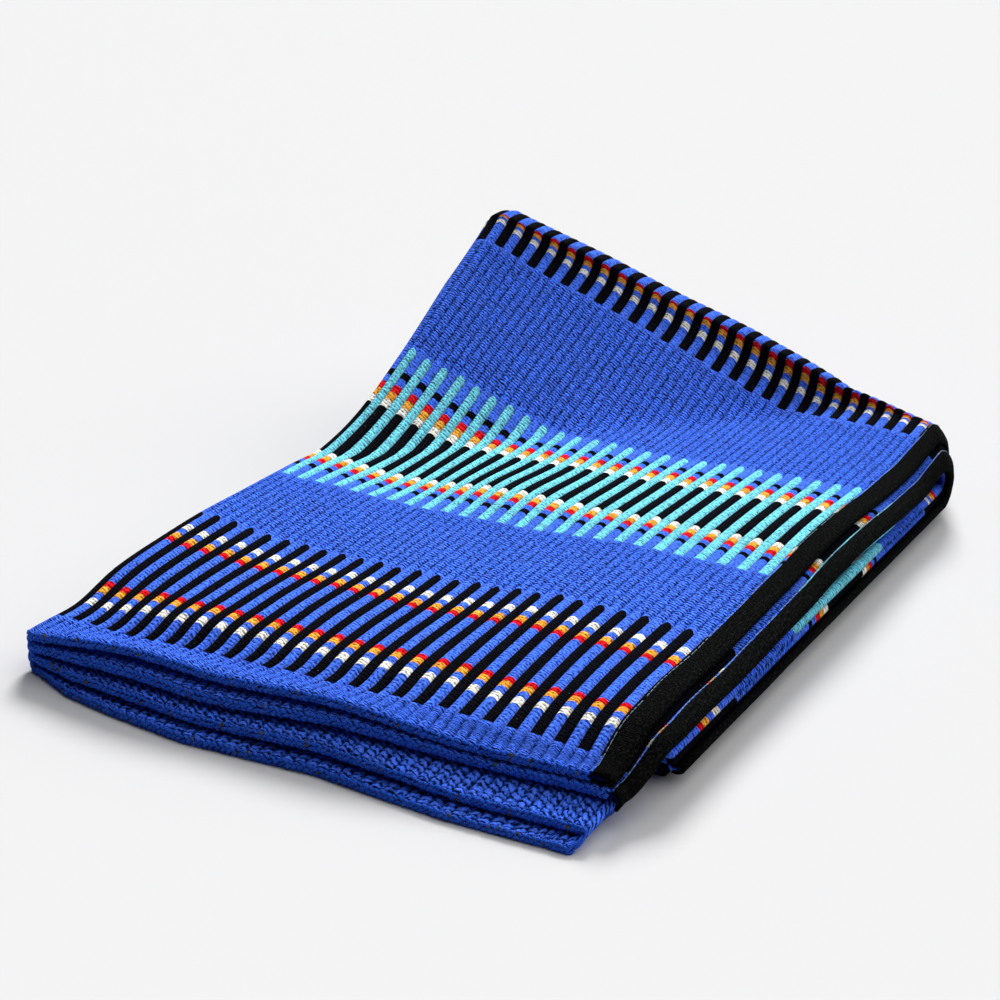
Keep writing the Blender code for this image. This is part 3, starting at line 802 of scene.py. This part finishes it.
def cloth_material(weave, colours):
    """Ribbed cotton: the woven bands and spots, the cross yarns and small differences of colour, with painted
    light and shade on the yarns' knobs, painted shade in the grooves and along the selvedges, and painted
    highlights and glints.
    """
    sheet = Sheet("ribbed_cotton", 0.85, 0.0)
    paint = yarn_colours(colours)
    across, along = sheet.uv()
    count = across / weave.rib + 0.5
    number = count.floor()
    share = abs((count - number) * 2 - 1)
    odd = (number * 0.5).part() * 2
    lag = sheet.random(number, 3.0) - 0.5
    bent = along + lag * 0.0024 + share * share * 0.0006
    run = PATTERN_MIDDLE - abs(bent - PATTERN_MIDDLE)

    from_dark = abs(run - DARK_BAND).math("MINIMUM", abs(run - PATTERN_MIDDLE))
    from_light = abs(run - LIGHT_BAND)
    rounding = share * share * 0.0022
    in_dark = (from_dark + rounding) < DARK_HALF
    in_light = (from_light + rounding) < LIGHT_HALF
    on_blue = sheet.steps(from_dark / RAMP_LENGTH, [(0.0, paint["blue"])] + [
        (place / RAMP_LENGTH, paint[name]) for place, name in SPOTS_ON_BLUE])
    on_black = sheet.steps(from_light / RAMP_LENGTH, [(0.0, paint["black"])] + [
        (place / RAMP_LENGTH, paint[name]) for place, name in SPOTS_ON_BLACK])
    dark_band = sheet.mix(odd, on_blue, sheet.mix(in_dark, paint["blue"], paint["black"]))
    light_band = sheet.mix(odd, sheet.mix(in_light, paint["blue"], paint["light_blue"]), on_black)
    colour = sheet.mix(from_light < (LIGHT_HALF + BORDER_END), dark_band, light_band)

    # cross yarns: each lies slanted round one rib, evenly in the bands and more loosely in the plain parts
    in_band = 1 - sheet.soft(from_dark, DARK_HALF, DARK_HALF + 0.003)
    in_band = in_band.math("MAXIMUM", 1 - sheet.soft(from_light, LIGHT_HALF, LIGHT_HALF + 0.003))
    from_edge = PATTERN_MIDDLE - abs(along - PATTERN_MIDDLE)
    wobble = sheet.noise(sheet.point(across, along, 8.0), 420.0, 1.0) - 0.5
    slanted = along / weave.yarn + (count - number) * 0.7 + sheet.random(number, 7.0) + wobble * 1.2
    wrap = (slanted.part() * np.pi).sine()
    loose = wrap * (1 - share ** 3.0 * 0.6)
    over = loose + (0.40 + wrap * 0.60 - loose) * in_band
    tint = sheet.random(number, slanted.floor(), 1.0)
    place = sheet.point(across, along)
    fibre = sheet.noise(place, 2600.0, 3.0, 0.6)
    fleck = sheet.soft(sheet.noise(place, 620.0, 2.0, 0.6), 0.36, 0.64)
    patch = sheet.noise(place, 38.0, 3.0, 0.6)
    # painted light and shade: each cross yarn's knob is lit where it rides over its rib and shaded where it
    # dips, mixed with random differences from flecks, fibres, yarns and patches
    knob_light_and_tone = sheet.soft(over * 0.60 + fleck * 0.40 + (fibre - 0.5) * 0.4, 0.12, 0.92)
    light = (0.02 + knob_light_and_tone * 1.42) * (0.84 + tint * 0.32 + (patch - 0.5) * 0.20)
    # painted shade in the grooves between the ribs, deeper in the bands
    light = light * (1 - share ** 4.0 * (0.14 + in_band * 0.36))
    shade = sheet.node("ShaderNodeCombineColor", {}, {0: light, 1: light, 2: light})
    pale = sheet.soft(sheet.node("ShaderNodeSeparateColor", {}, {0: colour}, 2), 0.05, 0.4)
    colour = sheet.mix(1.0, colour, shade, "MULTIPLY")
    # painted highlight: the blue, light-blue and white yarns bloom towards white where their knobs are lit; the
    # black, red and orange ones do not
    colour = sheet.mix(pale * knob_light_and_tone ** 1.5 * 0.10, colour, paint["white"])
    # painted glints: scattered white specks on the yarns
    speck = sheet.noise(sheet.point(across, along, 4.0), 900.0, 1.0) > 0.80
    colour = sheet.mix(speck * 0.25, colour, paint["white"])
    # painted shade: within about 2 mm of either selvedge the cloth turns deep blue, for the shaded gaps between
    # the loops
    edge = sheet.soft(from_edge, 0.0006, 0.0020)
    colour = sheet.mix(edge, (0.001, 0.006, 0.060, 1.0), colour)
    sheet.link(colour, "Base Color")
    sheet.bump(over + fleck * 0.6 + fibre * 0.5 + tint * 0.25, 0.0007, 0.9)
    return sheet.material


def tape_material(colours):
    """Black cotton tape: a fine weave, fibres standing off it and a dusty tint here and there."""
    sheet = Sheet("binding_cotton", 0.92, 0.0)
    paint = yarn_colours(colours)
    across, along = sheet.uv()
    place = sheet.point(across, along)
    weave = ((across + along) * (2 * np.pi / 0.0021)).sine() * ((across - along) * (2 * np.pi / 0.0026)).sine()
    fibre = sheet.noise(place, 750.0, 4.0, 0.75)
    patch = sheet.noise(place, 120.0, 3.0, 0.6)
    tinted = sheet.mix(sheet.soft(fibre, 0.46, 0.72), paint["tape"], (0.030, 0.033, 0.029, 1.0))
    tinted = sheet.mix(sheet.soft(patch, 0.55, 0.75) * 0.4, tinted, (0.010, 0.010, 0.012, 1.0))
    speck = sheet.noise(sheet.point(across, along, 2.0), 700.0, 1.0) > 0.82
    sheet.link(sheet.mix(speck * 0.15, tinted, paint["white"]), "Base Color")
    sheet.bump(weave * 0.5 + fibre * 2.0, 0.0012, 1.0)
    return sheet.material


def thread_material(name, colours, base, accent):
    """Twisted cotton thread: a base colour, a second one in patches, and a fine slanted twist, with painted
    light and shade along the twist and painted highlights on its fibres.
    """
    sheet = Sheet(name, 0.85, 0.03)
    paint = yarn_colours(colours)
    along, around = sheet.uv()
    patch = sheet.noise(sheet.point(along, 0.0), 110.0, 2.0)
    colour = sheet.mix(sheet.soft(patch, 0.59, 0.66), paint[base], accent)
    twist = (along * (2 * np.pi / 0.0011) + around * (2 * np.pi)).sine()
    fibre = sheet.noise(sheet.point(along, around * 0.002), 2400.0, 3.0)
    # painted light and shade along the slanted twist, with random variation from the fibres
    light = 0.40 + twist * 0.16 + fibre * 0.52
    # painted highlight: the brighter fibres bloom towards white
    colour = sheet.mix(sheet.soft(fibre, 0.45, 0.75) * 0.16, colour, paint["white"])
    shade = sheet.node("ShaderNodeCombineColor", {}, {0: light, 1: light, 2: light})
    sheet.link(sheet.mix(1.0, colour, shade, "MULTIPLY"), "Base Color")
    sheet.bump(twist * 0.5 + fibre, 0.0002, 0.8)
    return sheet.material


def make_cloth(weave, colours):
    """The folded sheet: a closed section of the wound cloth, carried along the path.

    Its front rows have every rib of every layer. Behind them the faces that touch one another keep only
    a point at every sixth rib, at the same x in each layer, so that no layer cuts into the next.
    """
    line, normal, half, wound, relief, outer_kept, inner_kept = cloth_line(weave.rib)
    count = len(line)
    both = np.concatenate([np.arange(count), np.arange(count)[::-1]])
    side = np.concatenate([np.ones(count), -np.ones(count)])
    kept = np.concatenate([outer_kept, inner_kept[::-1]])
    x, depth = line[both, 0], line[both, 1]
    across = normal[both] * side[:, None]
    shown = relief[both] * groove(wound[both], weave.rib)
    uneven = 0.85 + 0.30 * hashed(np.floor(wound[both] / weave.rib + 0.5), 1.0)

    travel = travels(x, FRONT_RUNS, True)
    front = len(FRONT_RUNS)
    share = np.ones(len(travel))
    share[:3] = EDGE_SHARES
    share[-3:] = EDGE_SHARES[::-1]
    run_share = relief_share(travel, weave)
    reach = half[both] * share[:, None] - weave.relief * shown * uneven * run_share
    hidden = kept & ~np.concatenate([outer_shown(line, wound), inner_shown(line, wound)[::-1]])
    flat = np.where(hidden, half[both] * share[:, None], reach)
    reach = np.concatenate([reach[:front], flat[front:]])
    points, pattern = placed(x, depth, across[:, 0] * reach, across[:, 1] * reach, travel)
    points[..., 2] += sway(x, travel)

    rear = points[front:, kept]
    all_points = np.vstack([points[:front].reshape(-1, 3), rear.reshape(-1, 3)])
    maps = np.stack([-wound[both] + 0 * travel, pattern], axis=-1)
    uv = np.vstack([maps[:front].reshape(-1, 2), maps[front:, kept].reshape(-1, 2)])
    first_rear = front * len(x)
    rear_count = rear.shape[1]
    last_fine = np.arange(len(x)) + (front - 1) * len(x)
    first_coarse = np.arange(rear_count) + first_rear
    here = np.arange(count - 1)
    back = 2 * count - 1
    front_cap = np.stack([here, here + 1, back - here - 1, back - here], axis=1)[:, ::-1]
    last = first_rear + (len(rear) - 1) * rear_count
    outer_last = np.arange(outer_kept.sum()) + last
    inner_last = (np.arange(inner_kept.sum()) + last + outer_kept.sum())[::-1]
    back_cap = fan_faces(outer_last, inner_last, inner_kept[outer_kept], False)
    faces = [
        ring_faces(front, len(x)),
        ring_faces(len(rear), rear_count, first_rear),
        fan_faces(last_fine, first_coarse, kept, True),
        front_cap,
        back_cap,
    ]
    return mesh_piece("folded_cloth", all_points, faces, uv, cloth_material(weave, colours))


def outer_shown(line, wound):
    """Whether the outer face shows behind the front rows: top layer, outer loop, fourth and hairpin."""
    return wound < WOUND_AT[3]


def inner_shown(line, wound):
    """Whether the inner face shows behind the front rows: only the second layer's strip at the right."""
    return (wound > WOUND_AT[5]) & (line[:, 0] > STRIP_X)


def make_tape(name, middle, width, tape, colours):
    """A binding: a closed section of tape, folded round the thin end of the cloth, along the path."""
    outer = TAPE_THICK / 2
    slot = outer - TAPE_WALL
    flat = np.linspace(0.0, width - outer, 9)
    nose = np.radians(np.linspace(15.0, 165.0, 7))
    crown = tape.crown * np.sin(np.pi * np.clip(flat / width, 0.0, 1.0)) ** 0.7
    slot_along = np.linspace(0.0, END_IN_TAPE + TAPE_WALL, 5)
    along = np.concatenate([flat, width - outer + outer * np.sin(nose), flat[::-1], [-0.0002], slot_along,
                            slot_along[::-1], [-0.0002]])
    off = np.concatenate([outer + crown, outer * np.cos(nose), -outer - crown[::-1] * 0, [-outer * 0.8],
                          -slot + 0 * slot_along, slot + 0 * slot_along, [outer * 0.8]])
    place = np.stack(middle(along), axis=1)
    ahead = np.stack(middle(along + END_STEP), axis=1) - place
    ahead /= np.linalg.norm(ahead, axis=1)[:, None]
    front = np.arange(0.0, 0.034, 0.004)
    travel = travels(place[:, 0], front, False)
    wave = 1 + 0.05 * np.sin(travel / 0.0031) * np.sin(travel / 0.0113 + 1.0)
    points, pattern = placed(place[:, 0], place[:, 1], ahead[:, 1] * off * wave, -ahead[:, 0] * off * wave,
                             travel)
    points[..., 2] += sway(place[:, 0], travel)
    rows, columns = travel.shape
    round_section = np.cumsum(np.hypot(*np.gradient(np.stack([along, off]), axis=1)))
    uv = np.stack([round_section + 0 * travel, pattern], axis=-1).reshape(-1, 2)
    ends = [np.arange(columns)[None, ::-1], np.arange(columns)[None, :] + (rows - 1) * columns]
    faces = [ring_faces(rows, columns), *ends]
    return mesh_piece(name, points.reshape(-1, 3), faces, uv, tape_material(colours))


def tubes(centre, radius, guide, sides):
    """Closed tubes round lines of centre points: ring = c + r (cos a e1 + sin a e2), across the line.

    centre has the shape (tubes, points, 3) and radius (points,) or (tubes, points).
    """
    along = np.gradient(centre, axis=1)
    along /= np.linalg.norm(along, axis=-1, keepdims=True)
    first = guide - (guide * along).sum(axis=-1, keepdims=True) * along
    first /= np.linalg.norm(first, axis=-1, keepdims=True)
    second = np.cross(along, first)
    angle = np.arange(sides) * 2 * np.pi / sides
    radius = np.broadcast_to(radius, centre.shape[:2])[..., None, None]
    ring = np.cos(angle)[:, None] * first[..., None, :] + np.sin(angle)[:, None] * second[..., None, :]
    points = centre[..., None, :] + radius * ring
    number, rows = centre.shape[:2]
    one = ring_faces(rows, sides)
    caps = np.stack([np.arange(sides)[::-1], np.arange(sides) + (rows - 1) * sides])
    shift = (np.arange(number) * rows * sides)[:, None, None]
    faces = [(one + shift).reshape(-1, 4), (caps + shift).reshape(-1, sides)]
    length = np.concatenate([np.zeros((number, 1)), np.cumsum(
        np.linalg.norm(np.diff(centre, axis=1), axis=-1), axis=1)], axis=1)
    uv = np.stack([np.repeat(length[..., None], sides, axis=-1),
                   np.broadcast_to(np.arange(sides) / sides, points.shape[:3])], axis=-1)
    return points.reshape(-1, 3), faces, uv.reshape(-1, 2)


def make_selvedge(tape, colours):
    """The looped edge along the front of the four layers: three rows of short fat loops, set like bricks.

    A row lies at an angle a round the edge, at edge + out w cos a + up h sin a, where up h is half the
    cloth's thickness there, and its loops slant by the slope of its row.
    """
    share = np.linspace(-0.5, 0.5, LOOP_POINTS)
    number = np.arange(int((WOUND_END + TOP_END_X) / tape.loop_length) - 1)
    start = -TOP_END_X + tape.loop_length * (number[None, :] + LOOP_SHIFT[:, None] + 0.6)
    wound = start[..., None] + share * tape.loop_length * 1.15
    angle = LOOP_ANGLE[:, None, None] + 0 * wound
    slant = LOOP_SLANT[:, None, None] * share * (0.5 + hashed(number, 3.0))[None, :, None]
    angle = angle + 0.5 * (hashed(number[None, :, None] + 100.0 * LOOP_SHIFT[:, None, None], 6.0) - 0.5)
    flat = wound.ravel()
    x, depth, _ = middle_of(flat)
    ahead_x, ahead_depth, _ = middle_of(flat + END_STEP)
    across = np.stack([depth - ahead_depth, ahead_x - x]) / END_STEP * THICK / 2
    edge, face = (placed(x, depth, across[0] * k, across[1] * k, np.zeros((1, len(x))))[0][0] for k in (0, 1))
    behind = placed(x, depth, 0 * x, 0 * x, np.full((1, len(x)), 0.002))[0][0]
    out = edge - behind
    out /= np.linalg.norm(out, axis=1)[:, None]
    up = (face - edge) * (LOOP_SPREAD * np.sin(angle) + slant).ravel()[:, None]
    centre = (edge + up + out * (tape.loop * (np.cos(angle) - 0.8)).ravel()[:, None]).reshape(-1, LOOP_POINTS, 3)
    fatness = (0.70 + 0.50 * hashed(np.arange(len(centre)), 4.0))[:, None]
    radius = tape.loop * fatness * LOOP_FATNESS
    guide = np.broadcast_to(out.reshape(centre.shape), centre.shape)
    points, faces, uv = tubes(centre, radius, guide, 6)
    uv[:, 0] += np.repeat(start.ravel() * 3, len(uv) // len(centre))
    material = thread_material("selvedge_yarn", colours, "blue", (0.085, 0.080, 0.035, 1.0))
    return mesh_piece("selvedge_loops", points, faces, uv, material)


def make_stitches(name, x, depth, lift, tape, colours, last):
    """A row of short stitches along a seam, each a thin tube laid along the path."""
    number = int(last / tape.stitch_step)
    start = (np.arange(number) + 0.3) * tape.stitch_step
    start = start + (hashed(np.arange(number), 2.0) - 0.5) * 0.0010
    start = start[hashed(np.arange(number), 5.0) > 0.12]
    share = np.linspace(0.0, 1.0, 6)
    travel = (start[:, None] + share * tape.stitch_length).ravel()
    side = (0.00025 * np.sin(travel / 0.009) + 0 * travel)
    here = np.full(len(travel), x) + side
    points, _ = placed(here, np.full(len(travel), depth), 0 * here, np.full(len(travel), -lift), travel[None, :])
    points = points[0]
    points[:, 2] += sway(here, travel)
    arch = np.tile(np.sin(np.pi * share) * tape.thread, len(start))
    points[:, 2] += arch
    centre = points.reshape(len(start), len(share), 3)
    radius = tape.thread * np.array([0.35, 0.9, 1.0, 1.0, 0.9, 0.35])
    guide = np.broadcast_to(np.array([0.0, 0.0, 1.0]), centre.shape)
    points, faces, uv = tubes(centre, radius, guide, 6)
    material = thread_material(name + "_thread", colours, "stitch", (0.80, 0.80, 0.76, 1.0))
    return mesh_piece(name, points, faces, uv, material)


def floor_material(colour):
    """Matt pale card."""
    sheet = Sheet("pale_floor", 0.9, 0.0)
    sheet.surface.inputs["Base Color"].default_value = (*colour, 1.0)
    return sheet.material


def sun(name, toward, strength, width):
    """A soft light from far away, shining from `toward` on to the origin."""
    light = bpy.data.lights.new(name, "SUN")
    light.energy = strength
    light.angle = width
    holder = bpy.data.objects.new(name, light)
    holder.rotation_euler = (-Vector(toward)).to_track_quat("-Z", "Y").to_euler()
    bpy.context.scene.collection.objects.link(holder)


def make_camera():
    """The camera at its place, level, at the angles the view was taken from."""
    back = Vector((np.sin(CAMERA_TURN) * np.cos(CAMERA_RISE), -np.cos(CAMERA_TURN) * np.cos(CAMERA_RISE),
                   np.sin(CAMERA_RISE)))
    right = Vector((np.cos(CAMERA_TURN), np.sin(CAMERA_TURN), 0.0))
    up = back.cross(right)
    lens = bpy.data.cameras.new("camera")
    lens.lens = CAMERA_LENS
    lens.sensor_width = SENSOR
    lens.sensor_fit = "HORIZONTAL"
    lens.clip_end = 50.0
    camera = bpy.data.objects.new("camera", lens)
    turn = Matrix((right, up, back)).transposed().to_4x4()
    camera.matrix_world = Matrix.Translation(CAMERA_PLACE) @ turn
    bpy.context.scene.collection.objects.link(camera)
    bpy.context.scene.camera = camera


def make_stage(studio):
    """A pale floor that fills the view, an even sky, a low light from behind and a wide one from above."""
    reach = 12.0
    corners = np.array([(-reach, -reach, 0), (reach, -reach, 0), (reach, reach, 0), (-reach, reach, 0)])
    mesh = bpy.data.meshes.new("floor")
    mesh.from_pydata(corners.tolist(), [], [(0, 1, 2, 3)])
    mesh.materials.append(floor_material(studio.floor))
    floor = bpy.data.objects.new("floor", mesh)
    bpy.context.scene.collection.objects.link(floor)
    world = bpy.data.worlds.new("studio")
    world.use_nodes = True
    background = world.node_tree.nodes["Background"]
    background.inputs["Color"].default_value = (0.98, 0.99, 1.0, 1.0)
    background.inputs["Strength"].default_value = studio.sky
    bpy.context.scene.world = world
    sun("key", KEY_FROM, studio.key, studio.key_width)
    sun("fill", FILL_FROM, studio.fill, FILL_WIDTH)
    bpy.context.scene.view_settings.view_transform = "Standard"


class BLANKET_OT_stage(Operator):
    """Set up the camera, the floor and the lights"""

    bl_idname = "blanket.stage"
    bl_label = "Make stage"

    def execute(self, context):
        make_camera()
        make_stage(context.scene.blanket_studio)
        return {"FINISHED"}


class BLANKET_OT_cloth(Operator):
    """Weave the folded cloth and the looped edge of its selvedge"""

    bl_idname = "blanket.cloth"
    bl_label = "Make cloth"

    def execute(self, context):
        scene = context.scene
        cloth = make_cloth(scene.blanket_weave, scene.blanket_colours)
        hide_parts("cloth")
        make_selvedge(scene.blanket_tape, scene.blanket_colours)
        return {"FINISHED"}


class BLANKET_OT_bindings(Operator):
    """Sew the two black bindings to the cut ends, with their stitches"""

    bl_idname = "blanket.bindings"
    bl_label = "Make bindings"

    def execute(self, context):
        scene = context.scene
        tape, colours = scene.blanket_tape, scene.blanket_colours
        upper = make_tape("tape_top", top_end, TAPE_TOP_WIDTH, tape, colours)
        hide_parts("binding_top")
        under = make_tape("tape_under", under_end, TAPE_UNDER_WIDTH, tape, colours)
        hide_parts("binding_under")
        seam = TOP_END_X + TAPE_SEAM / 4
        make_stitches("stitches_top", seam, TOP, TOP, tape, colours, FOLD_START + 0.05)
        make_stitches("stitches_under", SEAM_X + TAPE_SEAM / 4, SECOND, THICK / 2, tape, colours,
                      FOLD_START + 0.05)
        return {"FINISHED"}


class BLANKET_OT_declare(Operator):
    """An empty step: it does nothing"""

    bl_idname = "blanket.declare"
    bl_label = "Declare sheet"

    def execute(self, context):
        return {"FINISHED"}


class BLANKET_PT_panel(Panel):
    """Lists the blanket's sizes, colours and steps"""

    bl_idname = "BLANKET_PT_panel"
    bl_label = "Blanket"
    bl_space_type = "VIEW_3D"
    bl_region_type = "UI"
    bl_category = "Blanket"

    def draw(self, context):
        for group in ("blanket_weave", "blanket_colours", "blanket_tape", "blanket_studio"):
            settings = getattr(context.scene, group)
            box = self.layout.box()
            for name in settings.__annotations__:
                box.prop(settings, name)
        for operator in OPERATORS:
            self.layout.operator(operator.bl_idname)


GROUPS = {
    "blanket_weave": BlanketWeave,
    "blanket_colours": BlanketColours,
    "blanket_tape": BlanketTape,
    "blanket_studio": BlanketStudio,
}
OPERATORS = (BLANKET_OT_stage, BLANKET_OT_cloth, BLANKET_OT_bindings, BLANKET_OT_declare)


def register():
    """Make the settings, operators and panel known to Blender."""
    for name, group in GROUPS.items():
        bpy.utils.register_class(group)
        setattr(bpy.types.Scene, name, PointerProperty(type=group))
    for operator in OPERATORS:
        bpy.utils.register_class(operator)
    bpy.utils.register_class(BLANKET_PT_panel)


def unregister():
    """Take them away again."""
    bpy.utils.unregister_class(BLANKET_PT_panel)
    for operator in reversed(OPERATORS):
        bpy.utils.unregister_class(operator)
    for name, group in reversed(GROUPS.items()):
        delattr(bpy.types.Scene, name)
        bpy.utils.unregister_class(group)


def main():
    """Make the stage and every piece."""
    register()
    bpy.ops.blanket.stage()
    bpy.ops.blanket.cloth()
    bpy.ops.blanket.bindings()
    bpy.ops.blanket.declare()


if __name__ == "__main__":
    main()
